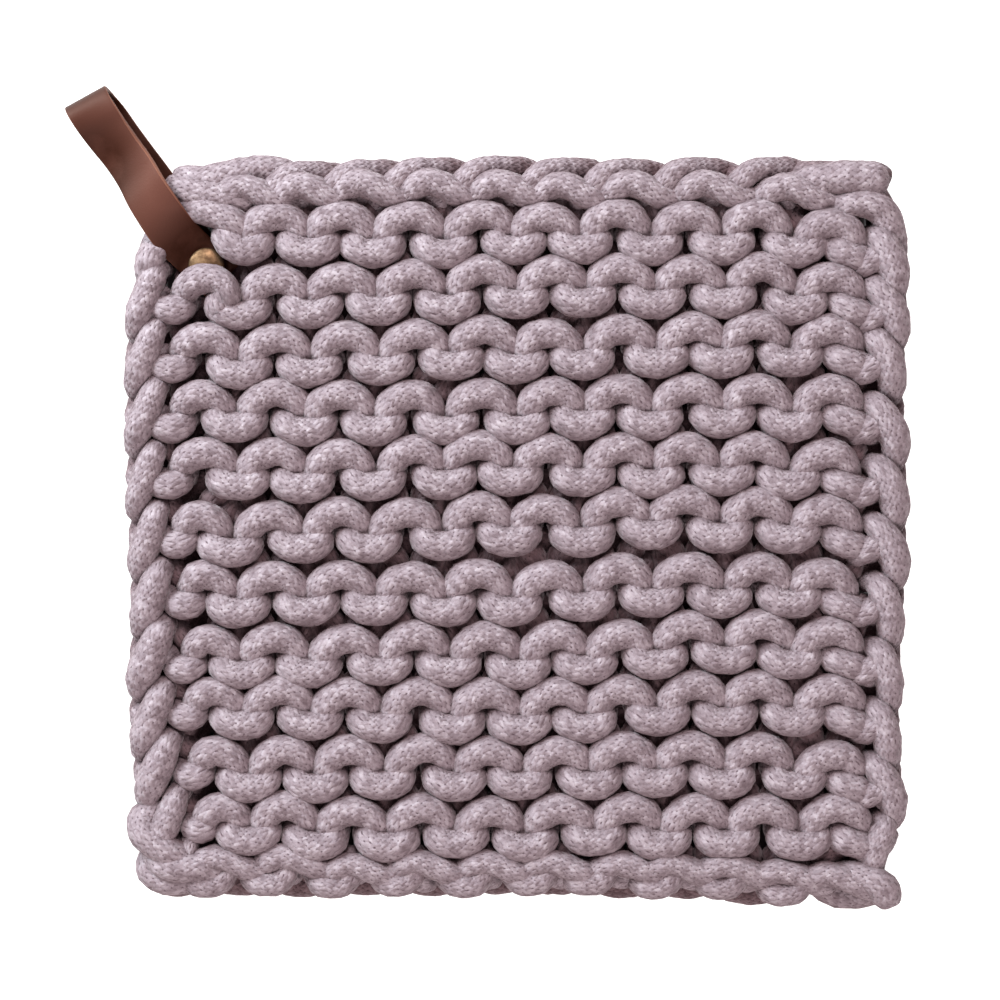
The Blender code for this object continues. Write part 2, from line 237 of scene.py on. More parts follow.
@dataclass(frozen=True)
class CottonCordFinish:
    """Braided cotton cord, yarn-dyed mauve: matt and heathered, its plait just showing through the nap."""

    base: str = "#8A7C83"           # the mauve of most strands
    pale: str = "#A4989F"           # undyed strands that lie among them
    deep: str = "#6E5F65"           # darker strands
    fleck: str = "#55444B"          # the core seen in the pits between the plaits, and painted shade in those hollows
    unfaded: str = "#B29E9E"        # painted shade: tints the cord's sides, what lies inside and what lies below a face's own cords
    fuzz: str = "#E8DCE2"           # the pale rim that loose fibres give
    plaits: int = 16                # strands that run one way round the cord
    plait_long: float = 2.0         # one plait along the cord
    plait_relief: float = 0.2       # height of a plait
    plait_sway: float = 0.5         # how far plaits stray from their lay, as a share of one
    sway_long: float = 2.4          # over which length they do
    nap_grain: float = 0.6          # clumps of fluffed fibre
    nap_relief: float = 0.6         # height of the clumps, in plaits
    lump_size: float = 2.4
    lump_relief: float = 0.9        # height of the lumps, in plaits
    cloud_size: float = 2.2         # a paler or darker stretch
    cloud_weight: float = 2.0       # its say in the shade, where the nap's is 1
    yarn_weight: float = 0.6        # the say of each plait's own shade
    shades: Spot = (1.15, 2.45)     # sums of the three that give the deepest and the palest shade
    pit: Spot = (0.66, 0.28)        # height of the plaits where a pit begins, and where it is dark
    fleck_size: float = 1.6         # how far apart the dark pits gather
    fleck_patch: Spot = (0.42, 0.6)     # noise where pits stay pale, and where they are all dark
    fleck_least: float = 0.15       # darkness that every pit has
    flank: float = 0.82             # how much painted shade the cord's sides get
    flank_slope: Spot = (0.92, 0.2)     # upward share of the normal where that begins, and where it is full
    shade: Spot = (3.2, 0.2)        # height over the knitting's middle where the painted shade begins, and is full
    bump: float = 0.9               # share of all this relief that the light meets
    roughness: float = 0.95
    specular: float = 0.2
    sheen: Spot = (0.25, 0.5)       # weight and roughness of the pale rim

    def strands(self, tree: Tree, place: Socket) -> tuple[list[Socket], list[Socket], Socket]:
        """Wind two families of strands round the cord against each other.

        Args:
            tree: the material's tree.
            place: where on the piece.

        Returns:
            Both families' strand numbers, both families' humps, and which of them lies on top.
        """
        run = add_node(tree, "ShaderNodeAttribute", attribute_name="cord_run").outputs["Fac"]
        ring = add_node(tree, "ShaderNodeAttribute", attribute_name="cord_ring").outputs["Vector"]
        across = add_node(tree, "ShaderNodeSeparateXYZ", {0: ring}).outputs
        wound = calc(tree, 'MULTIPLY', calc(tree, 'ARCTAN2', across[1], across[0]), self.plaits / math.tau)
        sway = calc(tree, 'MULTIPLY', noise(tree, place, self.sway_long), 2.0 * self.plait_sway)
        along = calc(tree, 'MULTIPLY_ADD', run, 1.0 / (self.plait_long * MM), sway)
        numbers, humps = [], []
        for way in ('ADD', 'SUBTRACT'):
            lay = calc(tree, way, along, wound)
            numbers.append(calc(tree, 'FLOOR', lay))
            humps.append(calc(tree, 'SINE', calc(tree, 'MULTIPLY', calc(tree, 'FRACT', lay), math.pi)))
        return numbers, humps, calc(tree, 'FLOORED_MODULO', calc(tree, 'ADD', *numbers), 2.0)

    def heathered(self, tree: Tree, place: Socket, nap: Socket,
                  plait: Iterable[Socket]) -> Socket:
        """Give every plait a shade of its own, and stretches of cord a paler or darker one.

        Args:
            tree: the material's tree.
            place: where on the piece.
            nap: the fluffed fibre.
            plait: three numbers that tell plaits apart.

        Returns:
            The colour.
        """
        plait_place = add_node(tree, "ShaderNodeCombineXYZ", dict(enumerate(plait))).outputs[0]
        yarn = add_node(tree, "ShaderNodeTexWhiteNoise", {"Vector": plait_place}).outputs["Value"]
        cloud = noise(tree, place, self.cloud_size, 3.0)
        own = calc(tree, 'MULTIPLY_ADD', yarn, self.yarn_weight, nap)
        shade = calc(tree, 'MULTIPLY_ADD', cloud, self.cloud_weight, own)
        tint = add_node(tree, "ShaderNodeValToRGB", {0: ranged(tree, shade, *self.shades)})
        ramp = tint.color_ramp
        ramp.elements[0].color, ramp.elements[1].color = linear(self.deep), linear(self.pale)
        ramp.elements.new(0.5).color = linear(self.base)
        return tint.outputs[0]

    def flecked(self, tree: Tree, place: Socket, humps: Iterable[Socket],
                color: Socket) -> Socket:
        """Let the dark of the cord's core show in some of the pits between plaits, with painted shade in
        those hollows.

        Args:
            tree: the material's tree.
            place: where on the piece.
            humps: both families' humps.
            color: the colour without flecks.

        Returns:
            The colour.
        """
        pit = ranged(tree, calc(tree, 'MAXIMUM', *humps), *self.pit)
        some = ranged(tree, noise(tree, place, self.fleck_size), *self.fleck_patch, self.fleck_least)
        return tinted(tree, calc(tree, 'MULTIPLY', pit, some), color, linear(self.fleck))

    def shaded(self, tree: Tree, place: Socket, normal: Socket) -> Socket:
        """Paint shade on the cord's sides, its inner runs, and all that lies below a face's own cords.

        Args:
            tree: the material's tree.
            place: where on the piece.
            normal: which way the surface looks.

        Returns:
            The colour to multiply by.
        """
        # Painted shade: on the runs deep inside, on the cord's sides, and below a face's own cords.
        depth = add_node(tree, "ShaderNodeAttribute", attribute_name="cord_depth").outputs["Fac"]
        upward, height = (add_node(tree, "ShaderNodeSeparateXYZ", {0: vector}).outputs[2]
                          for vector in (normal, place))
        side = ranged(tree, calc(tree, 'ABSOLUTE', upward), *self.flank_slope, 0.0, self.flank)
        above = calc(tree, 'SUBTRACT', height, MIDDLE_Z * MM)
        rise = calc(tree, 'MULTIPLY', above, calc(tree, 'SIGN', upward))
        below = ranged(tree, rise, *(level * MM for level in self.shade))
        share = calc(tree, 'MAXIMUM', calc(tree, 'MAXIMUM', depth, below), side)
        return tinted(tree, share, linear("#FFFFFF"), linear(self.unfaded))

    def build(self) -> bpy.types.Material:
        """Make the material from the cord's own run and ring attributes.

        Returns:
            The finished material.
        """
        material, tree, shader, found = new_material("mauve_braided_cotton")
        place = found["Object"]
        numbers, humps, over = self.strands(tree, place)
        plait = add_node(tree, "ShaderNodeMix", {"Factor": over, 2: humps[0], 3: humps[1]}).outputs[0]
        nap = noise(tree, place, self.nap_grain, 2.0, 0.6)
        fluffed = calc(tree, 'MULTIPLY_ADD', nap, self.nap_relief, plait)
        lump = noise(tree, place, self.lump_size)
        relief = calc(tree, 'MULTIPLY_ADD', lump, 2.0 * self.lump_relief, fluffed)
        bump = add_node(tree, "ShaderNodeBump", {"Strength": self.bump, "Distance": self.plait_relief * MM,
                                                 "Height": relief})
        color = self.flecked(tree, place, humps, self.heathered(tree, place, nap, (*numbers, over)))
        # The colour is multiplied by the painted shade.
        dyed = tinted(tree, 1.0, color, self.shaded(tree, place, found["Normal"]), blend_type='MULTIPLY')
        fill(tree, shader, {"Base Color": dyed, "Normal": bump.outputs["Normal"], "Roughness": self.roughness,
                            "Specular IOR Level": self.specular, "Sheen Weight": self.sheen[0],
                            "Sheen Roughness": self.sheen[1], "Sheen Tint": linear(self.fuzz)})
        return material


@dataclass(frozen=True)
class LeatherFinish:
    """Leather dyed red brown and waxed: a dull gloss over fine pores; rubbed paler on its bends, with a
    painted highlight there.
    """

    name: str
    base: str
    # paler colour: rubbed patches, and the painted highlight where the strap rises high
    worn: str
    cloud_size: float = 7.0         # a patch that is duller or more worn
    cloud_span: Spot = (0.35, 0.68)     # noise where a patch begins, and where it is full
    cloud_wear: float = 0.35        # how much of the worn colour it gets at most
    pore_grain: float = 0.45        # pore to pore
    pore_relief: float = 0.08
    pore_bump: float = 0.35         # share of it that the light meets
    rubbed: Spot = (12.2, 16.8)     # height where rubbing and a painted highlight make the bends paler, and where that is full
    roughness: float = 0.52
    duller: Spot = (-0.06, 0.1)     # added to the roughness outside and inside a patch
    specular: float = 0.14
    sheen: str = "#F2D2C6"          # wax takes up the dye, so its gloss is warm

    def build(self) -> bpy.types.Material:
        """Make the material.

        Returns:
            The finished material.
        """
        material, tree, shader, found = new_material(self.name)
        place = found["Object"]
        cloud = noise(tree, place, self.cloud_size, 4.0, 0.6)
        pores = add_node(tree, "ShaderNodeTexVoronoi",
                         {"Vector": place, "Scale": 1.0 / (self.pore_grain * MM)},
                         feature='SMOOTH_F1').outputs["Distance"]
        bump = add_node(tree, "ShaderNodeBump", {"Strength": self.pore_bump, "Height": pores,
                                                 "Distance": self.pore_relief * MM})
        height = add_node(tree, "ShaderNodeSeparateXYZ", {0: place}).outputs["Z"]
        # Paler in worn patches, and a painted highlight where the strap rises high.
        wear_and_highlight = calc(tree, 'MAXIMUM', ranged(tree, cloud, *self.cloud_span, 0.0, self.cloud_wear),
                    ranged(tree, height, *(level * MM for level in self.rubbed)))
        gloss = ranged(tree, cloud, 0.0, 1.0, *(self.roughness + more for more in self.duller))
        fill(tree, shader, {"Base Color": tinted(tree, wear_and_highlight, linear(self.base), linear(self.worn)),
                            "Roughness": gloss, "Normal": bump.outputs["Normal"],
                            "Specular IOR Level": self.specular, "Specular Tint": linear(self.sheen)})
        return material


@dataclass(frozen=True)
class AntiqueBrassFinish:
    """Pressed brass, chemically darkened and rubbed back: satin, browner in patches."""

    bright: str = "#927459"
    dark: str = "#5E4735"
    patch_size: float = 2.2
    patch_span: Spot = (0.4, 0.65)      # noise where the bright starts to show, and where it is full
    roughness: float = 0.46
    duller: float = 0.12            # added to it where the brass is dark

    def build(self) -> bpy.types.Material:
        """Make the material.

        Returns:
            The finished material.
        """
        material, tree, shader, found = new_material("antique_brass")
        tone = ranged(tree, noise(tree, found["Object"], self.patch_size, 5.0, 0.6), *self.patch_span)
        gloss = ranged(tree, tone, 0.0, 1.0, self.roughness + self.duller, self.roughness)
        fill(tree, shader, {"Base Color": tinted(tree, tone, linear(self.dark), linear(self.bright)),
                            "Metallic": 1.0, "Roughness": gloss})
        return material


@dataclass(frozen=True)
class PaperFinish:
    """Matt white film on a light table that is masked under the knitting: shadows round it stay pale."""

    color: str = "#ACABAA"
    glow: float = 1.0
    masked: Spot = (92.0, 88.0)     # half the sides of the masked square
    middle: Spot = (7.7, -9.0)
    fade: float = 6.0               # from the mask's edge to the full glow
    roughness: float = 0.9

    def build(self) -> bpy.types.Material:
        """Make the material.

        Returns:
            The finished material.
        """
        material, tree, shader, found = new_material("backdrop_paper")
        parts = add_node(tree, "ShaderNodeSeparateXYZ", {0: found["Object"]}).outputs
        away = []
        for part, centre, half in zip(parts, self.middle, self.masked):
            apart = calc(tree, 'ABSOLUTE', calc(tree, 'SUBTRACT', part, centre * MM))
            away.append(calc(tree, 'SUBTRACT', apart, half * MM))
        glow = ranged(tree, calc(tree, 'MAXIMUM', *away), 0.0, self.fade * MM, 0.0, self.glow)
        fill(tree, shader, {"Base Color": linear(self.color), "Roughness": self.roughness,
                            "Emission Color": linear("#FFFFFF"), "Emission Strength": glow})
        return material


# ---------------------------------------------------------------- cord sweep

END_ROUNDING = ((0.2, 0.92), (0.38, 0.68), (0.49, 0.25))    # past a cord's end: distance, share of girth


@dataclass
class Cord:
    """One run of cord: the places its middle passes through, its girth there and the painted shade it takes
    where it lies deep inside.
    """

    points: list[Point]
    girth: list[float]
    depth: list[float]

    @classmethod
    def plain(cls, points: Iterable[Point], girth: float | Sequence[float] = 1.0) -> "Cord":
        """Make a run with no painted inner shade.

        Args:
            points: the places.
            girth: one for the whole run, or one for each place.

        Returns:
            The run.
        """
        points = list(points)
        girths = [girth] * len(points) if isinstance(girth, float) else list(girth)
        return cls(points, girths, [0.0] * len(points))

    def rounded(self) -> "Cord":
        """Add to both ends so that they close in a dome.

        Returns:
            The longer run.
        """
        points, girth, depth = list(self.points), list(self.girth), list(self.depth)
        for _ in range(2):
            points.reverse(), girth.reverse(), depth.reverse()
            end, share = Vector(points[-1]), girth[-1]
            ahead = (end - Vector(points[-2])).normalized()
            for distance, part in END_ROUNDING:
                points.append(tuple(end + ahead * distance * CORD * share))
                girth.append(part * share)
                depth.append(depth[-1])
        return Cord(points, girth, depth)


@dataclass
class CordSweep:
    """Geometry Nodes tree that rounds off chains of edges and sweeps a cord along each."""

    thickness: float = CORD
    spacing: float = 1.04           # ring to ring along the cord
    sides: int = 20
    lumps: float = 0.18             # how much the girth wanders, as a share
    lump_size: float = 9.0          # length of a thicker or thinner stretch
    knobs: float = 1.15             # height of the unevenness that the fluffed plaits give the surface
    knob_size: float = 3.0          # how far apart those are

    def __post_init__(self) -> None:
        """Build the tree with its named inputs."""
        tree = bpy.data.node_groups.new("cord_sweep", "GeometryNodeTree")
        for name in ("Geometry", *self.sizes(), "Seed", "Material"):
            kind = {"Geometry": name, "Material": name, "Sides": 'Int'}.get(name, 'Float')
            tree.interface.new_socket(name, in_out='INPUT', socket_type="NodeSocket" + kind)
        tree.interface.new_socket("Geometry", in_out='OUTPUT', socket_type='NodeSocketGeometry')
        given = add_node(tree, "NodeGroupInput").outputs

        chain = add_node(tree, "GeometryNodeMeshToCurve", {"Mesh": given["Geometry"]}).outputs[0]
        rounded = add_node(tree, "GeometryNodeCurveSplineType", {"Curve": chain},
                           spline_type='CATMULL_ROM').outputs[0]
        rings = add_node(tree, "GeometryNodeResampleCurve",
                         {"Curve": rounded, "Length": given["Ring Spacing"]}, mode='LENGTH').outputs[0]
        run = add_node(tree, "GeometryNodeSplineParameter").outputs["Length"]
        marked = self.stored(tree, rings, "cord_run", run, 'FLOAT')

        radius = calc(tree, 'MULTIPLY', given["Thickness"], 0.5)
        circle = add_node(tree, "GeometryNodeCurvePrimitiveCircle",
                          {"Resolution": given["Sides"], "Radius": radius}).outputs[0]
        spot = add_node(tree, "GeometryNodeInputPosition").outputs[0]
        ring = self.stored(tree, circle, "cord_ring", spot, 'FLOAT_VECTOR')

        lump = self.wandering(tree, spot, given["Lump Size"], given["Seed"])
        swell = calc(tree, 'MULTIPLY_ADD', lump, given["Lumps"], 1.0)
        girth = add_node(tree, "GeometryNodeInputNamedAttribute", {"Name": "girth"},
                         data_type='FLOAT').outputs[0]
        scale = calc(tree, 'MULTIPLY', swell, girth)
        tube = add_node(tree, "GeometryNodeCurveToMesh",
                        {"Curve": marked, "Profile Curve": ring, "Scale": scale,
                         "Fill Caps": True}).outputs[0]

        knob = self.wandering(tree, spot, given["Knob Size"], given["Seed"])
        outward = add_node(tree, "GeometryNodeInputNormal").outputs[0]
        rise = calc(tree, 'MULTIPLY', knob, given["Knobs"])
        shove = add_node(tree, "ShaderNodeVectorMath", {0: outward, "Scale": rise}, operation='SCALE')
        uneven = add_node(tree, "GeometryNodeSetPosition",
                          {"Geometry": tube, "Offset": shove.outputs[0]}).outputs[0]
        soft = add_node(tree, "GeometryNodeSetShadeSmooth", {"Geometry": uneven}).outputs[0]
        real = add_node(tree, "GeometryNodeRealizeInstances", {"Geometry": soft}).outputs[0]
        dressed = add_node(tree, "GeometryNodeSetMaterial",
                           {"Geometry": real, "Material": given["Material"]}).outputs[0]
        add_node(tree, "NodeGroupOutput", {"Geometry": dressed})
        self.tree = tree

    def sizes(self) -> dict[str, float]:
        """The tree's sizes by the names of its inputs, lengths in metres."""
        return {"Thickness": self.thickness * MM, "Ring Spacing": self.spacing * MM, "Sides": self.sides,
                "Lumps": self.lumps, "Lump Size": self.lump_size * MM, "Knobs": self.knobs * MM,
                "Knob Size": self.knob_size * MM}

    @staticmethod
    def stored(tree: Tree, geometry: Socket, name: str, value: Socket, kind: str) -> Socket:
        """Keep a value with each point."""
        return add_node(tree, "GeometryNodeStoreNamedAttribute",
                        {"Geometry": geometry, "Name": name, "Value": value},
                        data_type=kind, domain='POINT').outputs[0]

    @staticmethod
    def wandering(tree: Tree, spot: Socket, size: Socket, seed: Socket) -> Socket:
        """Make a number that wanders about 0 over the length given as size."""
        scale = calc(tree, 'DIVIDE', 1.0, size)
        clouds = add_node(tree, "ShaderNodeTexNoise",
                          {"Vector": spot, "W": seed, "Scale": scale, "Detail": 1.0}, noise_dimensions='4D')
        return calc(tree, 'SUBTRACT', clouds.outputs["Fac"], 0.5)

    def sweep(self, name: str, cords: Iterable[Cord], material: bpy.types.Material,
              seed: float) -> bpy.types.Object:
        """Turn runs of cord into one plain mesh object.

        Args:
            name: the piece's name.
            cords: the runs, in millimetres.
            material: the cord's finish.
            seed: picks the wandering.

        Returns:
            The piece.
        """
        verts: list[Point] = []
        edges: list[tuple[int, int]] = []
        girths: list[float] = []
        inner_shades: list[float] = []
        for cord in (cord.rounded() for cord in cords):
            start = len(verts)
            verts += [(x * MM, y * MM, z * MM) for x, y, z in cord.points]
            girths += cord.girth
            inner_shades += cord.depth
            edges += [(i, i + 1) for i in range(start, len(verts) - 1)]
        mesh = bpy.data.meshes.new(name)
        mesh.from_pydata(verts, edges, [])
        # The painted inner shade goes to the material as an attribute.
        for name_of, values in (("girth", girths), ("cord_depth", inner_shades)):
            mesh.attributes.new(name_of, 'FLOAT', 'POINT').data.foreach_set("value", values)
        piece = mesh_object(name, mesh)
        modifier = piece.modifiers.new("sweep", 'NODES')
        modifier.node_group = self.tree
        values = {**self.sizes(), "Seed": seed, "Material": material}
        for item in self.tree.interface.items_tree:
            if item.in_out == 'INPUT' and item.name in values:
                modifier[item.identifier] = values[item.name]
        return baked(piece)


# ---------------------------------------------------------------- knitting

class Station(NamedTuple):
    """One point along the middle of the leather strap, from its front end to its rear end."""

    x: float
    y: float
    z: float
    turn: float             # direction across the strap, degrees from +X
    tilt: float = 0.0       # how far its right edge is raised, degrees


FRONT_LEG = table(
    Station,
    (-68.8, 56.3, 8.9, 43.0),
    (-73.0, 60.2, 8.9, 43.0),
    (-77.0, 64.1, 8.9, 42.0),
    (-81.2, 68.5, 12.8, 40.0),
    (-84.6, 73.4, 15.5, 37.0, 10.0),
    (-87.9, 78.6, 15.7, 36.0, 17.0),
    (-91.1, 84.2, 13.6, 36.0, 23.0),
    (-94.6, 89.2, 12.0, 35.0, 25.0),
    (-98.3, 94.1, 12.6, 34.0, 18.0),
    (-101.2, 98.3, 13.9, 32.0, 8.0),
    (-103.2, 101.4, 13.6, 30.0),
)
FOLD = table(
    Station,
    (-104.2, 103.2, 11.2, 29.0),
    (-104.5, 103.9, 7.8, 29.0),
    (-104.0, 103.5, 4.4, 29.5),
)
REAR_LEG = table(
    Station,
    (-102.6, 101.8, 1.9, 30.5),
    (-100.4, 99.2, 1.0, 32.0),
    (-97.2, 94.6, 0.9, 34.0),
    (-93.3, 89.3, 0.9, 36.0),
    (-89.0, 83.6, 0.9, 38.0),
    (-84.6, 77.4, 0.9, 40.0),
    (-80.4, 70.3, 1.3, 42.0),
    (-76.8, 64.8, 2.6, 43.0),
    (-73.0, 60.2, 2.6, 43.0),
    (-69.4, 55.8, 2.6, 43.0),
)
STRAP_WIDE = 12.0
STRAP_THICK = 1.8
TUCK_LINE = 61.5            # below this y the cords of the face lie over the strap's end
YIELD_FROM = 1.0            # how far inside the strap's edge a cord begins to come free of it
YIELD_OVER = 3.0            # and how far on it is clear


def leg_beside(leg: Sequence[Station], x: float, y: float) -> Spot:
    """Find a leg of the strap beside a place.

    Args:
        leg: the leg's stations.
        x: of the place.
        y: of the place.

    Returns:
        The height of the leg's middle there, and how near it is: 1 under the leather, 0 clear of it.
    """
    best = (math.inf, 0.0)
    for a, b in zip(leg, leg[1:]):
        dx, dy = b.x - a.x, b.y - a.y
        t = min(max(((x - a.x) * dx + (y - a.y) * dy) / (dx * dx + dy * dy), 0.0), 1.0)
        best = min(best, (math.hypot(x - a.x - t * dx, y - a.y - t * dy), mix(a.z, b.z, t)))
    return best[1], 1.0 - smooth_step((best[0] - STRAP_WIDE / 2 + YIELD_FROM) / YIELD_OVER)


class Face(Enum):
    """The two sides of the knitting."""

    FRONT = 1
    BACK = -1

    @property
    def height(self) -> float:
        """Height of a cord's middle on this side."""
        return FRONT_Z if self is Face.FRONT else BACK_Z

    def sunk(self, depth: float) -> float:
        """Height of a cord's middle that has sunk from this side towards the other."""
        return self.height - self.value * depth


class Side(Enum):
    """The two selvages."""

    LEFT = -1
    RIGHT = 1


class Ridge(NamedTuple):
    """One garter ridge of the face, from its left end to its right."""

    reach: float            # x of the outer edge of its first bump
    half: float             # size of the half bump at its left end, as a share of the largest
    y_left: float           # y of its bumps' crowns in the left third
    y_mid: float            # the same in the middle
    y_right: float          # the same in the right third
    y_end: float            # the same in the last column
    drift_left: float       # how far the columns wander in x, left third
    drift_right: float      # the same, right third


RIDGES = table(
    Ridge,
    (-84.0, 1.00, 73.6, 73.5, 74.4, 71.5, 0.0, -1.0),
    (-83.6, 1.00, 57.7, 59.3, 60.3, 57.5, 0.5, 0.4),
    (-83.9, 1.00, 42.4, 43.4, 45.2, 44.5, 0.8, -0.4),
    (-83.9, 1.00, 27.3, 28.0, 28.7, 28.9, -0.4, 0.6),
    (-83.9, 0.92, 11.6, 13.4, 14.2, 11.7, -0.3, -0.3),
    (-82.6, 0.80, -4.3, -2.2, -0.4, -2.1, -1.8, -0.4),
    (-81.0, 0.86, -20.3, -19.7, -16.9, -19.0, 0.3, -0.5),
    (-80.3, 0.84, -35.9, -35.8, -32.8, -34.6, 0.8, 0.5),
    (-80.3, 0.76, -50.4, -50.7, -48.5, -49.4, 1.8, 0.0),
    (-78.7, 0.76, -65.4, -65.4, -64.2, -66.3, 2.6, 0.6),
    (-76.4, 0.62, -80.3, -80.8, -80.3, -80.8, 3.2, 1.6),
)


class Step(NamedTuple):
    """One place a cord passes, counted from a crown, a foot or a link's start."""

    out: float              # sideways
    away: float             # up from a foot, down from all others
    sink: float             # into the knitting


HALF_HEAD = table(          # from a crown down one leg
    Step,
    (0.0, 0.4, 0.0),
    (3.3, 1.3, 0.0),
    (5.3, 3.4, 0.3),
    (6.3, 5.8, 1.7),
    (6.7, 7.7, 4.0),
)
HALF_FOOT = table(          # from the lowest point of a bump that hangs, up one arm
    Step,
    (0.0, 0.0, 0.0),
    (3.2, 0.5, 0.0),
    (4.9, 2.0, 0.6),
    (5.4, 3.6, 2.6),
    (5.7, 5.2, 5.0),
)
FIRST_FOOT = table(         # the half bump at the left end, from under the side chain
    Step,
    (-5.0, 2.2, 5.6),
    (-4.0, 0.8, 2.9),
    (-2.1, 0.0, 0.8),
    (0.2, -0.1, 0.3),
    (2.1, 0.5, 0.8),
    (3.2, 1.7, 2.8),
    (3.8, 3.2, 5.2),
)
LAST_FOOT = table(          # the long bump at the right end
    Step,
    (-7.6, 4.6, 4.4),
    (-7.4, 2.8, 2.0),
    (-6.2, 1.3, 0.4),
    (-3.8, 0.4, 0.3),
    (-1.4, -0.4, 0.8),
    (0.6, -0.6, 2.6),
    (2.4, 0.2, 5.0),
)
LAST_TWIST = table(         # the twist that crosses its end, till under the side chain
    Step,
    (-1.6, -3.0, 4.0),
    (-0.6, -2.6, 1.6),
    (1.2, -1.7, 0.3),
    (3.0, -0.7, 0.4),
    (4.6, 0.6, 1.8),
    (5.8, 2.0, 4.6),
)
FAR_END = table(            # either end of a course on the side that its hanging bumps are not seen from
    Step,
    (0.0, 0.0, 0.0),
    (2.4, 0.6, 0.0),
    (4.4, 1.4, 0.1),
    (5.8, 2.6, 0.4),
)
OPENINGS = {                # how the first two courses begin under the strap, up to their second column
    0: ((-75.0, 81.0, 4.0), (-70.6, 81.2, 3.9), (-67.0, 79.0, 4.2), (-65.4, 75.6, 6.0), (-66.2, 72.6, 7.6),
        (-67.8, 70.4, 8.8), (-68.2, 68.4, 11.0), (-67.0, 66.2, 12.3)),
    1: ((-81.0, 76.2, 9.5), (-77.6, 75.6, 10.8), (-73.8, 74.7, 12.0), (-69.8, 73.4, 12.6),
        (-66.2, 71.6, 12.4), (-63.7, 69.4, 10.9), (-62.9, 67.2, 8.2), (-64.0, 64.6, 6.2),
        (-67.0, 61.8, 5.4), (-68.4, 59.0, 4.6), (-67.0, 56.4, 3.8)),
}
RIGHT_LEG_DIP = 0.17        # how much deeper the right leg of a loop lies, as a share of its way out
FIRST_LEG_DIP = 0.55        # the same for the left leg of a course's first loop, past its shoulder
LEFT_LEG_SPREAD = 1.1       # how much wider a loop leans out to the left than to the right
SPREAD_RANGE = (0.7, 1.3)   # the same for the first loop of a course, least and most
EDGE_PRESS = 0.25           # how far that loop is pressed into the side chain
NUDGED = {(0, 0): (2.6, 1.0), (0, 9): (1.6, 0.0)}   # bumps pushed out of line, by ridge and column
FOOT_DROP = 9.9             # crown of a bump to the lowest point of the bump that hangs under it
FOOT_SHIFT = -0.8           # how far the hanging bumps sit to the left of the middle between crowns
FAR_FOOT = (-8.3, 1.6)      # place of the back's first bump, from where one hangs under a crown
LAST_RISE = 0.3             # how much higher the last bump sits than the others
FAR_REACH = (8.4, 3.4)      # last crown to the end of the course, and the same for the lowest course
HALF_INWARD = 2.3           # outer edge of a ridge's half bump to its lowest point
HALF_DROP = (6.0, 8.8)      # crown to that point, for the smallest half bump and for a whole one
HALF_LEAST = 0.62           # size of the smallest half bump
TWIST_GIRTH = 0.86
SIDE_WAY = 0.38             # share of the width over which a ridge's y runs from its middle to its third
LAST_WAY = (0.84, 0.16)     # where the last column's y sets in, and over which share of the width


class Leaf(NamedTuple):
    """One slanting link of a side chain."""

    x: float                # where it comes to the face
    y: float
    rim: float              # x where it goes round the edge
    girth: float


LEAVES = {
    Side.LEFT: table(
        Leaf, (-84.2, 72.0, -88.2, 0.94), (-86.4, 58.0, -91.0, 0.92), (-86.2, 43.6, -91.2, 0.9),
        (-86.2, 28.0, -91.2, 0.9), (-86.5, 11.5, -91.0, 0.9), (-86.0, -4.5, -90.0, 0.92),
        (-85.2, -19.6, -89.2, 1.02), (-84.9, -35.0, -90.0, 1.04), (-84.5, -51.0, -89.2, 1.0),
        (-83.0, -64.2, -88.0, 1.0), (-80.6, -78.0, -85.2, 0.92),
    ),
    Side.RIGHT: table(
        Leaf, (102.6, 66.4, 106.2, 1.02), (101.8, 53.9, 106.6, 0.98), (101.8, 40.6, 105.6, 0.98),
        (101.6, 23.4, 106.6, 0.98), (102.8, 7.0, 106.4, 0.96), (101.9, -8.0, 106.6, 0.98),
        (102.3, -23.6, 105.2, 0.94), (102.3, -40.5, 105.0, 0.92), (102.0, -56.3, 104.6, 0.92),
        (101.4, -70.4, 105.9, 0.94), (103.6, -85.6, 100.6, 0.84),
    ),
}
LEAF_START = 3.2            # how far inwards a sideways step of -1 lies
LEAF_PATHS = {              # sideways steps are shares: of the way to the rim, or of LEAF_START below 0
    Side.LEFT: table(Step, (-0.5, -1.8, 6.4), (-0.2, -1.3, 3.0), (0.0, 0.0, 0.4), (0.26, 3.2, -0.1),
                     (0.56, 6.8, -0.1), (0.84, 10.2, 0.5), (1.0, 13.0, 2.2), (0.98, 15.2, 4.6),
                     (0.7, 16.8, 7.2)),
    Side.RIGHT: table(Step, (-0.9, -1.6, 6.4), (-0.4, -1.3, 3.0), (0.0, 0.0, 0.3), (0.38, 2.4, -0.1),
                      (0.74, 5.4, 0.0), (0.96, 8.6, 0.5), (1.0, 11.4, 1.8), (0.9, 13.8, 4.4),
                      (0.6, 15.4, 7.2)),
}
LEAF_GIRTHS = {             # along a leaf, as a share of its own
    Side.LEFT: (0.76, 0.84, 0.92, 1.02, 1.06, 1.04, 0.98, 0.92, 0.84),
    Side.RIGHT: (0.76, 0.86, 0.96, 1.04, 1.06, 1.02, 0.94, 0.86, 0.78),
}

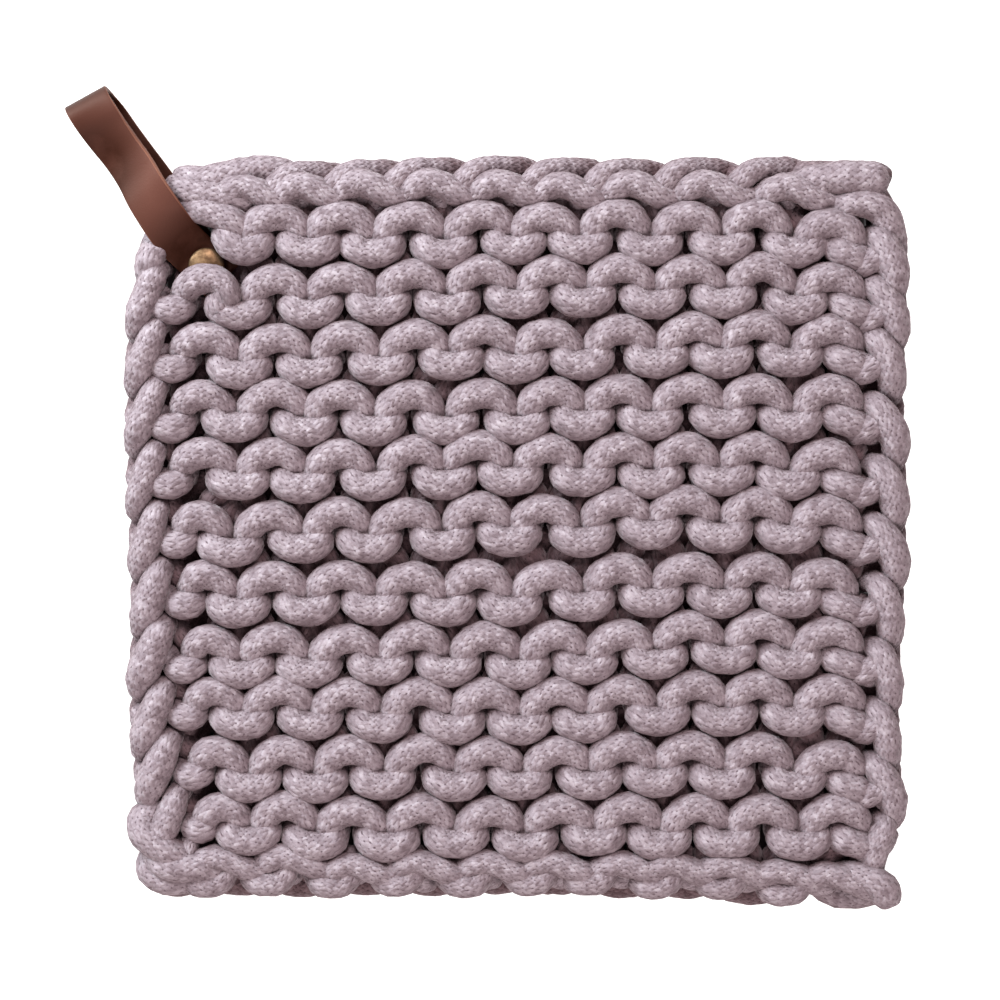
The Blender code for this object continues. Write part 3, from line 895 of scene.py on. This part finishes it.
BIND_OFF_CROWNS = ((-63.6, 80.6), (-48.5, 81.0), (-32.9, 81.6), (-14.7, 82.0), (3.0, 81.6), (19.1, 81.2),
                   (37.3, 81.6), (56.8, 81.6), (78.0, 80.7))
BIND_OFF_FRONT = table(Step, (-7.6, 3.4, 4.6), (-5.8, 2.7, 1.6), (-3.2, 0.9, 0.1), (0.0, 0.0, 0.0),
                       (3.8, 1.1, 0.0), (7.4, 3.0, 0.5), (10.8, 4.0, 2.0), (13.6, 3.8, 4.6))
BIND_OFF_REAR = table(Step, (6.4, 2.4, 4.0), (8.0, 0.8, 1.3), (9.8, -1.3, 0.7), (12.0, -3.0, 1.5),
                      (15.0, -3.8, 2.8), (18.6, -4.0, 4.6), (22.0, -4.2, 6.2), (25.4, -3.7, 8.0))
BIND_OFF_FAR = table(Step, (0.0, -0.6, 3.0), (3.0, -2.8, 1.0), (6.5, -3.9, 0.4), (10.0, -3.9, 0.4),
                     (13.5, -3.0, 1.0), (16.5, -1.0, 3.0))

CAST_ON_CROWNS = ((-70.6, -93.9), (-52.9, -93.5), (-35.5, -95.7), (-18.4, -94.9), (-0.4, -94.9),
                  (16.0, -94.9), (34.2, -95.2), (47.6, -95.4), (62.0, -95.7), (76.0, -97.2), (88.6, -98.0))
CAST_ON_FRONT = table(Step, (-7.8, 3.0, 5.0), (-5.2, 1.8, 1.8), (-2.6, 0.5, 0.1), (0.0, 0.0, 0.0),
                      (4.0, 0.8, 0.0), (8.0, 2.5, 0.5), (11.5, 3.8, 2.2), (14.5, 4.3, 4.8))
CAST_ON_HOOK = table(Step, (-4.6, -3.4, 5.0), (-4.4, -1.6, 2.4), (-3.1, -0.3, 0.5), (-0.4, 0.1, 0.0),
                     (2.3, -0.3, 0.0), (4.0, -1.9, 0.1), (4.5, -4.2, 0.8), (4.4, -6.8, 3.2))
CAST_ON_FAR = table(Step, (-7.4, -3.0, 3.4), (-5.8, -0.8, 1.0), (-3.0, 0.5, 0.1), (0.0, 0.9, 0.0),
                    (3.0, 0.5, 0.1), (5.8, -0.8, 1.0), (7.4, -3.0, 3.4))
CAST_ON_BUMPS = ((-72.4, -100.9), (-56.7, -100.6), (-39.9, -101.1), (-23.4, -100.6), (-5.6, -100.9),
                 (11.4, -100.4), (26.6, -100.4), (43.9, -101.4), (61.1, -101.4), (77.6, -103.2))

CORNERS = {                 # short turns of cord at the corners
    "bind_off_start_rear": ((-78.5, 82.6, 9.5), (-74.0, 82.3, 10.6), (-67.0, 83.8, 10.2),
                            (-60.0, 85.2, 9.0), (-53.0, 84.8, 7.4)),
    "bind_off_start_front": ((-80.5, 80.4, 10.0), (-77.5, 79.8, 11.6), (-72.0, 78.6, 12.0),
                             (-67.0, 77.9, 11.4), (-62.0, 77.2, 8.8)),
    "bind_off_end": ((76.0, 80.6, 7.5), (82.0, 82.0, 10.0), (88.0, 82.9, 11.6), (94.0, 83.0, 12.0),
                     (100.2, 82.6, 11.6)),
    "bind_off_end_under": ((82.0, 84.0, 6.5), (90.0, 84.2, 6.0), (97.0, 82.4, 5.6), (101.5, 79.0, 5.6),
                           (103.6, 73.0, 5.0), (104.0, 66.0, 5.2)),
    "shoulder": ((90.0, 75.0, 8.0), (94.5, 76.2, 11.2), (99.0, 76.4, 12.2), (103.0, 74.2, 11.6),
                 (105.2, 70.0, 10.2), (106.0, 65.2, 8.2), (105.6, 60.0, 6.6)),
    "left_heel": ((-86.0, -81.5, 8.6), (-89.8, -84.0, 10.4), (-89.0, -87.4, 12.2), (-85.6, -90.3, 12.6),
                  (-81.4, -92.9, 12.0), (-77.5, -94.6, 9.6)),
    "left_heel_under": ((-82.0, -91.0, 7.0), (-86.4, -93.4, 7.6), (-87.6, -97.2, 8.4), (-84.6, -99.6, 9.4),
                        (-80.2, -99.8, 9.6), (-76.0, -99.4, 8.0)),
    "cast_on_start": ((-86.0, -93.6, 9.4), (-83.6, -95.8, 11.4), (-79.6, -96.3, 12.4),
                      (-74.4, -96.2, 12.0), (-69.4, -97.2, 9.8)),
    "left_heel_tip": ((-76.4, -86.0, 6.5), (-77.2, -89.6, 10.2), (-77.6, -92.4, 12.0),
                      (-77.2, -95.0, 10.2)),
    "right_toe": ((90.0, -98.8, 8.6), (94.5, -98.2, 11.2), (99.4, -99.2, 12.4), (102.6, -101.2, 12.3),
                  (103.8, -103.0, 11.4)),
    "right_toe_under": ((86.4, -98.8, 6.4), (88.8, -102.0, 7.2), (93.0, -103.8, 7.4), (98.6, -103.6, 7.0),
                        (101.6, -102.6, 6.4)),
}
CORNER_GIRTHS = {
    "bind_off_end": (0.85, 0.92, 1.05, 1.16, 1.2),
    "left_heel_tip": (0.6, 0.62, 0.62, 0.6),
    "right_toe": (0.85, 0.9, 0.98, 1.08, 1.12),
}


@dataclass
class KnittedSquare:
    """The knitting: courses of loops, the chains along both sides, the bind-off and the cast-on."""

    sweep: CordSweep
    finish: bpy.types.Material
    wander: float = 0.7             # how far a stitch strays from its place
    size_wander: float = 0.05       # how much a loop is wider or narrower, as a share
    slant_wander: float = 0.1       # how much it slants, as rise over run
    inside_girth: float = 0.84      # share of the thickness left where a cord is squeezed inside
    squeeze_rate: float = 1.4       # the squeeze is full where this times the depth reaches 1
    dark_from: Spot = (0.5, 0.4)    # depth at which the painted inner shade begins, and over which it gets full
    strap_gap: float = 0.2          # between leather and cord
    strap_press: float = 0.9        # how much of a cord's radius keeps clear of the strap's end under it
    rng: Random = field(default_factory=lambda: Random(SEED))

    def __post_init__(self) -> None:
        """Place the crown of every bump on both faces."""
        self.front = [[self.stray(self.crown(i, w)) for w in range(WALES)] for i in range(len(RIDGES))]
        for (i, w), (right, up) in NUDGED.items():
            x, y = self.front[i][w]
            self.front[i][w] = (x + right, y + up)
        self.back = [[self.stray(self.between(j, w)) for w in range(WALES)] for j in range(len(RIDGES) + 1)]

    def stray(self, spot: Spot) -> Spot:
        """Move a place a little, as a hand does."""
        return tuple(value + self.rng.uniform(-self.wander, self.wander) for value in spot)

    @staticmethod
    def crown(index: int, wale: float) -> Spot:
        """Where a bump of the face has its crown.

        Args:
            index: the ridge, from the top.
            wale: the column, from the left.

        Returns:
            X and y.
        """
        ridge = RIDGES[index]
        t = min(max(wale / (WALES - 1), 0.0), 1.0)
        side = ridge.y_left if t < 0.5 else ridge.y_right
        y = mix(ridge.y_mid, side, smooth_step(abs(t - 0.5) / SIDE_WAY))
        y = mix(y, ridge.y_end, smooth_step((t - LAST_WAY[0]) / LAST_WAY[1]))
        return FIRST_WALE + STITCH_WIDE * wale + mix(ridge.drift_left, ridge.drift_right, t), y

    def between(self, index: int, wale: float) -> Spot:
        """Where a bump of the back has its crown: half a ridge above the face's bump."""
        if index == 0:
            x, y = self.crown(0, wale)
            return x, y + RIDGE_TALL / 2
        if index == len(RIDGES):
            x, y = self.crown(index - 1, wale)
            return x, y - RIDGE_TALL / 2
        (x0, y0), (x1, y1) = self.crown(index - 1, wale), self.crown(index, wale)
        return (x0 + x1) / 2, (y0 + y1) / 2

    @staticmethod
    def feet(crowns: Sequence[Spot], ridge: Ridge | None = None,
             end: float = FAR_REACH[0]) -> list[Spot]:
        """Where the bumps that hang under a ridge's crowns have their lowest points.

        Args:
            crowns: the ridge's crowns from left to right.
            ridge: the face's ridge, where it is one.
            end: last crown to last place.

        Returns:
            One place left of each crown and one right of the last.
        """
        inner = [((x0 + x1) / 2 + FOOT_SHIFT, (y0 + y1) / 2 - FOOT_DROP)
                 for (x0, y0), (x1, y1) in zip(crowns, crowns[1:])]
        (x, y), (x_last, y_last) = crowns[0], crowns[-1]
        first = (x + FAR_FOOT[0], y - FOOT_DROP + FAR_FOOT[1])
        if ridge:
            size = (ridge.half - HALF_LEAST) / (1 - HALF_LEAST)
            first = (ridge.reach + HALF_INWARD, y - mix(*HALF_DROP, size))
        return [first, *inner, (x_last + end, y_last - FOOT_DROP + LAST_RISE)]

    def settled(self, cord: Cord, squeezed: bool) -> Cord:
        """Squeeze a cord where it runs inside, and lay it clear of the strap.

        Args:
            cord: the run as knitted.
            squeezed: whether other cords press on it inside.

        Returns:
            The run as it lies.
        """
        points, girths, inner_shades = [], [], []
        for (x, y, z), girth in zip(cord.points, cord.girth):
            inside = 1.0 - min(abs(z - MIDDLE_Z) / (FRONT_Z - MIDDLE_Z), 1.0) if squeezed else 0.0
            girth *= mix(1.0, self.inside_girth, smooth_step(inside * self.squeeze_rate))
            front, near = leg_beside(FRONT_LEG, x, y)
            rear, near_rear = leg_beside(REAR_LEG, x, y)
            floor, roof = rear + STRAP_THICK / 2 + self.strap_gap, front - STRAP_THICK / 2 - self.strap_gap
            if y < TUCK_LINE and z > MIDDLE_Z:
                z = mix(z, max(z, front + STRAP_THICK / 2 + CORD / 2 * self.strap_press), near)
            elif near > 0.0 or near_rear > 0.0:
                girth = mix(girth, min(girth, (roof - floor) / CORD), near)
                z = mix(z, min(z, roof - CORD / 2 * girth), near)
                z = mix(z, max(z, floor + CORD / 2 * girth), near_rear)
            points.append((x, y, z))
            girths.append(girth)
            # painted shade on the stretches deep inside
            inner_shades.append(smooth_step((inside - self.dark_from[0]) / self.dark_from[1]))
        return Cord(points, girths, inner_shades)

    def course(self, heads: Sequence[Spot], feet: Sequence[Spot],
               head_face: Face, foot_face: Face, ridge: Ridge, opening: Sequence[Point] = ()) -> Cord:
        """Lead the cord through one course of loops.

        Args:
            heads: crowns of the loops.
            feet: lowest points between the loops, one more than the heads.
            head_face: the side that shows the heads.
            foot_face: the side that shows the feet.
            ridge: the ridge of the face that it belongs to.
            opening: stands in for all that comes before the second foot.

        Returns:
            The course as one run of cord.
        """
        def at_foot(foot: Spot, side: float, step: Step) -> Point:
            return foot[0] + side * step.out, foot[1] + step.away, foot_face.sunk(step.sink)

        def at_head(head: Spot, side: float, step: Step, slant: float) -> Point:
            out = side * step.out
            return head[0] + out, head[1] - step.away + slant * out, head_face.sunk(step.sink)

        seen, shoulder = foot_face is Face.FRONT, HALF_HEAD[1].out
        points = list(opening)
        if not opening:
            half = [Step(out * ridge.half, down, sink + (1 - ridge.half)) for out, down, sink in FIRST_FOOT]
            side, path = (1, half) if seen else (-1, FAR_END[::-1])
            points += [at_foot(feet[0], side, step) for step in path]
        for number, (head, left, right) in enumerate(zip(heads, feet, feet[1:])):
            size = 1.0 + self.rng.uniform(-self.size_wander, self.size_wander)
            slant = self.rng.uniform(-self.slant_wander, self.slant_wander)
            if opening and number == 0:
                continue
            if number:
                points += [at_foot(left, 1, step) for step in HALF_FOOT]
            spread = size * LEFT_LEG_SPREAD
            if number == 0 and not seen:
                room = head[0] - ridge.reach - CORD / 2 + EDGE_PRESS
                spread = min(max(room / HALF_HEAD[3].out, SPREAD_RANGE[0]), SPREAD_RANGE[1])
            shallow, steep = (0.0, 0.0) if seen else (RIGHT_LEG_DIP, 0.0 if number else FIRST_LEG_DIP)
            points += [at_head(head, -spread, Step(out, down, sink + steep * max(out - shoulder, 0.0)), slant)
                       for out, down, sink in HALF_HEAD[::-1]]
            points += [at_head(head, size, Step(out, down, sink + shallow * out), slant)
                       for out, down, sink in HALF_HEAD[1:]]
            if not seen or number < WALES - 1:
                points += [at_foot(right, -1, step) for step in HALF_FOOT[:0:-1]]
        points += [at_foot(feet[-1], 1, step) for step in (LAST_FOOT if seen else FAR_END)]
        return Cord.plain(points)

    def courses(self) -> list[Cord]:
        """All courses, from the top down, with the twist at the right end of each ridge."""
        made = []
        for i, (ridge, crowns) in enumerate(zip(RIDGES, self.front)):
            hanging = [self.stray(foot) for foot in self.feet(crowns, ridge)]
            made.append(self.course(self.back[i], hanging, Face.BACK, Face.FRONT, ridge,
                                    OPENINGS.get(2 * i, ())))
            x, y = hanging[-1]
            twist = ((x + out, y + up, Face.FRONT.sunk(sink)) for out, up, sink in LAST_TWIST)
            made.append(Cord.plain(twist, TWIST_GIRTH))
            far = self.feet(self.back[i + 1], end=FAR_REACH[i == len(RIDGES) - 1])
            made.append(self.course(crowns, far, Face.FRONT, Face.BACK, ridge, OPENINGS.get(2 * i + 1, ())))
        return made

    @staticmethod
    def chain(side: Side) -> list[Cord]:
        """The slanting links of the chain along one side, on both faces.

        Args:
            side: which selvage.

        Returns:
            One run of cord for each link.
        """
        made = []
        leaves = LEAVES[side]
        half_way = [Leaf(*((p + q) / 2 for p, q in zip(a, b))) for a, b in zip(leaves, leaves[1:-1])]
        for face, row in ((Face.FRONT, leaves), (Face.BACK, half_way)):
            for leaf in row:
                reach = leaf.rim - leaf.x
                points = [(leaf.x + (LEAF_START * side.value if out < 0.0 else reach) * out, leaf.y - down,
                           face.sunk(sink)) for out, down, sink in LEAF_PATHS[side]]
                made.append(Cord.plain(points, [leaf.girth * share for share in LEAF_GIRTHS[side]]))
        return made

    @staticmethod
    def band(spots: Iterable[Spot], path: Sequence[Step], face: Face, shift: float = 0.0,
             base: float = 0.0, girth: float = 0.85) -> list[Cord]:
        """Repeat a short run of cord along an edge.

        Args:
            spots: where its crown lies each time.
            path: its steps from the crown.
            face: the side it shows on.
            shift: how far it is moved to the right.
            base: how deep its crown lies.
            girth: share of the cord's thickness that the tight edge leaves.

        Returns:
            The runs.
        """
        return [Cord.plain(((x + shift + out, y - down, face.sunk(base + sink))
                            for out, down, sink in path), girth) for x, y in spots]

    def bind_off(self) -> list[Cord]:
        """The chain along the top edge."""
        return [*self.band(BIND_OFF_CROWNS, BIND_OFF_FRONT, Face.FRONT, girth=0.92),
                *self.band(BIND_OFF_CROWNS, BIND_OFF_REAR, Face.FRONT, girth=0.82),
                *self.band(BIND_OFF_CROWNS, BIND_OFF_FRONT, Face.BACK, shift=7.0),
                *self.band(BIND_OFF_CROWNS[:-1], BIND_OFF_FAR, Face.BACK, shift=13.0)]

    def cast_on(self) -> list[Cord]:
        """The leaves and bumps along the bottom edge."""
        return [*self.band(CAST_ON_CROWNS, CAST_ON_FRONT, Face.FRONT),
                *self.band(CAST_ON_BUMPS, CAST_ON_HOOK, Face.FRONT, base=1.0),
                *self.band(CAST_ON_BUMPS, CAST_ON_FAR, Face.BACK, shift=-8.5),
                *self.band(CAST_ON_CROWNS[:-2], CAST_ON_FRONT, Face.BACK, shift=5.0)]

    def build(self) -> list[bpy.types.Object]:
        """Make every piece of the knitting.

        Returns:
            The pieces.
        """
        courses = [self.settled(cord, squeezed=True) for cord in self.courses()]
        third = len(courses) // 3
        pieces = {
            "courses_upper": courses[:third],
            "courses_middle": courses[third:2 * third],
            "courses_lower": courses[2 * third:],
            "left_chain": self.chain(Side.LEFT),
            "right_chain": self.chain(Side.RIGHT),
            "bind_off": self.bind_off(),
            "cast_on": self.cast_on(),
            "corner_turns": [Cord.plain(path, CORNER_GIRTHS.get(name, 1.0))
                             for name, path in CORNERS.items()],
        }
        for name in list(pieces)[3:]:
            pieces[name] = [self.settled(cord, squeezed=False) for cord in pieces[name]]
        return [self.sweep.sweep(name, cords, self.finish, seed=float(number))
                for number, (name, cords) in enumerate(pieces.items(), 1)]


# ---------------------------------------------------------------- leather loop

@dataclass
class LeatherLoop:
    """One strap folded in two, both ends clamped by the rivet."""

    face: bpy.types.Material
    edge: bpy.types.Material
    width: float = STRAP_WIDE
    thickness: float = STRAP_THICK
    bevel: float = 0.35             # how far the cut corners are rubbed round
    step: float = 0.9               # ring to ring along the strap

    def middle(self) -> np.ndarray:
        """Smooth the stations into closely spaced places along the strap.

        Returns:
            Rows of x, y, z, turn and tilt.
        """
        rows = np.array(FRONT_LEG + FOLD + REAR_LEG, float)
        rows = np.vstack([2 * rows[0] - rows[1], rows, 2 * rows[-1] - rows[-2]])
        made = []
        for a, b, c, d in zip(rows, rows[1:], rows[2:], rows[3:]):
            count = max(2, round(float(np.linalg.norm((c - b)[:3])) / self.step))
            for t in np.arange(count) / count:
                made.append(0.5 * (2 * b + (c - a) * t + (2 * a - 5 * b + 4 * c - d) * t ** 2
                                   + (3 * b - a - 3 * c + d) * t ** 3))
        made.append(rows[-2])
        return np.array(made)

    def section(self) -> list[Spot]:
        """The strap's cut end: a long rectangle with rubbed corners, as across and up."""
        half_wide, half_thick, round_off = self.width / 2, self.thickness / 2, self.bevel
        ring = []
        for sx, sz, first in ((1, 1, 0), (-1, 1, 90), (-1, -1, 180), (1, -1, 270)):
            for step in range(4):
                angle = math.radians(first + 30 * step)
                ring.append((sx * (half_wide - round_off) + round_off * math.cos(angle),
                             sz * (half_thick - round_off) + round_off * math.sin(angle)))
            if first in (0, 180):
                span = half_wide - round_off
                ring += [(sx * mix(span, -span, k / 10), sz * half_thick) for k in range(1, 10)]
        return ring

    def build(self) -> bpy.types.Object:
        """Make the strap.

        Returns:
            The piece.
        """
        rows, ring = self.middle(), self.section()
        run = np.gradient(rows[:, :3], axis=0)
        bm = bmesh.new()
        loops = []
        for row, along in zip(rows, run):
            turn, tilt = math.radians(row[3]), math.radians(row[4])
            across = Vector((math.cos(turn), math.sin(turn), math.tan(tilt)))
            forward = Vector(along).normalized()
            across = (across - forward * across.dot(forward)).normalized()
            up = across.cross(forward)
            centre = Vector(row[:3])
            loops.append([bm.verts.new((centre + across * a + up * u) * MM) for a, u in ring])
        for low, high in zip(loops, loops[1:]):
            for k in range(len(ring)):
                face = bm.faces.new((low[k], low[k - 1], high[k - 1], high[k]))
                edge = min(abs(ring[k][0]), abs(ring[k - 1][0])) > self.width / 2 - self.bevel
                face.material_index = 1 if edge else 0
        for loop in (loops[0], loops[-1]):
            bm.faces.new(loop).material_index = 1
        return turned_to_object(bm, "folded_strap", (self.face, self.edge))


@dataclass
class Rivet:
    """Two-cap rivet: a domed cap on the face, its post and a flat cap on the back."""

    finish: bpy.types.Material
    x: float = -73.0
    y: float = 60.2
    cap_radius: float = 4.75
    post_radius: float = 1.5
    dome: Spot = (10.5, 1.5)        # height where the front cap's dome starts, and its rise
    rim: Spots = ((0.0, 10.25), (0.15, 10.1))       # down the front cap's rim: how far inwards, and height
    rear: Spots = ((0.3, 1.4), (0.0, 1.1), (0.0, 0.6), (0.25, 0.35), (0.6, 0.3))    # the same of the rear cap
    steps: int = 48

    def profile(self) -> list[Spot]:
        """Half section, as radius and height."""
        r, post, (start, rise) = self.cap_radius, self.post_radius, self.dome
        dome = [(r * math.cos(a), start + rise * math.sin(a)) for a in np.radians(np.arange(90, -1, -7.5))]
        rim, rear = ([(r - inwards, z) for inwards, z in cap] for cap in (self.rim, self.rear))
        return [(0.0, start + rise), *dome[1:], *rim, (post, rim[-1][1]), (post, rear[0][1]), *rear,
                (0.0, rear[-1][1])]

    def build(self) -> bpy.types.Object:
        """Turn the rivet.

        Returns:
            The piece.
        """
        bm = bmesh.new()
        verts = [bm.verts.new(((self.x + r) * MM, self.y * MM, z * MM)) for r, z in self.profile()]
        edges = [bm.edges.new(pair) for pair in zip(verts, verts[1:])]
        bmesh.ops.spin(bm, geom=verts + edges, cent=(self.x * MM, self.y * MM, 0.0), axis=(0.0, 0.0, 1.0),
                       angle=math.tau, steps=self.steps, use_merge=True)
        bmesh.ops.remove_doubles(bm, verts=bm.verts, dist=0.00001)
        return turned_to_object(bm, "turned_rivet", (self.finish,))


# ---------------------------------------------------------------- studio

class Lamp(NamedTuple):
    """A soft square lamp that faces the middle of the table."""

    name: str
    place: Point            # in metres
    size: float             # its side, in metres
    power: float            # in watts
    color: str


LAMPS = table(
    Lamp,
    ("key_lamp", (-0.6, 0.58, 0.345), 0.42, 17.8, "#EDFDFF"),
    ("back_lamp", (0.0, 0.92, 0.92), 0.6, 13.5, "#FFF3F2"),
    ("front_lamp", (0.0, -0.92, 0.92), 0.6, 14.5, "#FFF6F4"),
)


@dataclass
class Studio:
    """Camera straight above, soft light from the top left, and a white floor."""

    millimetres: float = 260.0      # what the picture spans at the height of the knitting
    lens: float = 100.0
    sensor: float = 36.0
    aim: Spot = (3.5, -0.8)
    floor: float = 6000.0           # its side
    floor_drop: float = 0.2         # how far the floor lies under the part
    ambient: str = "#FFEEE8"        # light from all round
    ambient_strength: float = 0.2

    def camera(self) -> None:
        """Hang the camera over the knitting, looking down."""
        data = bpy.data.cameras.new("camera")
        data.lens, data.sensor_width = self.lens, self.sensor
        item = bpy.data.objects.new("camera", data)
        away = self.millimetres * self.lens / self.sensor + FRONT_Z
        item.location = (self.aim[0] * MM, self.aim[1] * MM, away * MM)
        bpy.context.scene.collection.objects.link(item)
        bpy.context.scene.camera = item

    @staticmethod
    def light(lamp: Lamp) -> None:
        """Hang one lamp.

        Args:
            lamp: what it is like.
        """
        data = bpy.data.lights.new(lamp.name, 'AREA')
        data.shape, data.size, data.energy = 'SQUARE', lamp.size, lamp.power
        data.color = linear(lamp.color)[:3]
        item = bpy.data.objects.new(lamp.name, data)
        item.location = lamp.place
        item.rotation_euler = (-Vector(lamp.place)).to_track_quat('-Z', 'Y').to_euler()
        bpy.context.scene.collection.objects.link(item)

    def build(self) -> None:
        """Set up camera, lamps, backdrop and surroundings."""
        self.camera()
        for lamp in LAMPS:
            self.light(lamp)
        bpy.ops.mesh.primitive_plane_add(size=self.floor * MM, location=(0.0, 0.0, -self.floor_drop * MM))
        floor = bpy.context.object
        floor.name = "floor"
        floor.data.materials.append(PaperFinish().build())
        world = bpy.data.worlds.new("studio")
        world.use_nodes = True
        fill(world.node_tree, world.node_tree.nodes["Background"],
             {"Color": linear(self.ambient), "Strength": self.ambient_strength})
        bpy.context.scene.world = world
        bpy.context.scene.view_settings.view_transform = 'Standard'


def report(piece: bpy.types.Object) -> None:
    """Log a piece's name, size and triangles.

    Args:
        piece: a plain mesh object.
    """
    triangles = sum(len(polygon.vertices) - 2 for polygon in piece.data.polygons)
    LOG.info("%s: %.1f x %.1f x %.1f mm, %d triangles", piece.name, *(side / MM for side in piece.dimensions),
             triangles)


def main() -> None:
    """Build the knitting, the loop and the rivet, dress them and set up the studio."""
    logging.basicConfig(level=logging.INFO, format="%(name)s %(message)s")
    cotton = CottonCordFinish().build()
    leather = LeatherFinish("waxed_brown_leather", base="#2A1108", worn="#54332B").build()
    cut_edge = LeatherFinish("burnished_cut_edge", base="#4E2A1E", worn="#7E5444", roughness=0.6).build()
    brass = AntiqueBrassFinish().build()

    for piece in KnittedSquare(CordSweep(), cotton).build():
        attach(piece, "root")
        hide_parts("knit_square")
        report(piece)
    strap = LeatherLoop(leather, cut_edge).build()
    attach(strap, "root")
    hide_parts("leather_loop")
    report(strap)
    rivet = Rivet(brass).build()
    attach(rivet, "root")
    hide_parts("rivet")
    report(rivet)
    Studio().build()


if __name__ == "__main__":
    main()
